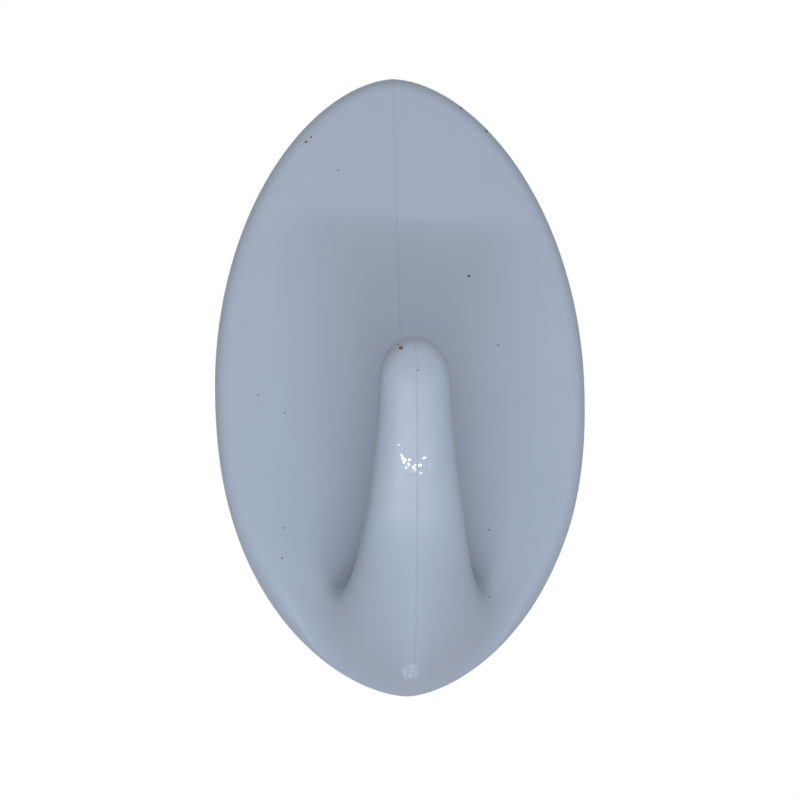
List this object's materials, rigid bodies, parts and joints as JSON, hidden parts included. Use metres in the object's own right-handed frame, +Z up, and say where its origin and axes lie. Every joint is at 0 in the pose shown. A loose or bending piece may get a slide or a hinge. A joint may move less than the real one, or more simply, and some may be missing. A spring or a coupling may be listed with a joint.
{
  "type": "adhesive wall hook",
  "caption": "Oval stick-on wall hook: a moulded plate whose chin sweeps into one leaning finger, with a foam tape pad and peel-off liner behind it.",
  "frame": {"origin": "centre of the plate's oval, on the wall side of the tape's release liner", "axes": "+Z up along the plate's length, +Y into the wall, the finger stands out towards -Y"},
  "size_m": [0.0302, 0.0196, 0.0504],
  "materials": {
    "white_plastic": "satin-gloss moulded plastic, white with a cool cast",
    "acrylic_adhesive": "tacky, milky film",
    "white_foam": "fine closed-cell foam, matt",
    "liner_paper": "siliconised paper, satin"
  },
  "bodies": {
    "hook": {"hook_moulding": "white_plastic", "front_adhesive": "acrylic_adhesive", "foam_core": "white_foam", "wall_adhesive": "acrylic_adhesive"},
    "liner": {"release_liner": "liner_paper"}
  },
  "joints": [
    {"name": "liner_peel", "type": "slide", "parent": "hook", "child": "liner", "axis": [0, 1, 0], "range_m": [0, 0.03]}
  ]
}
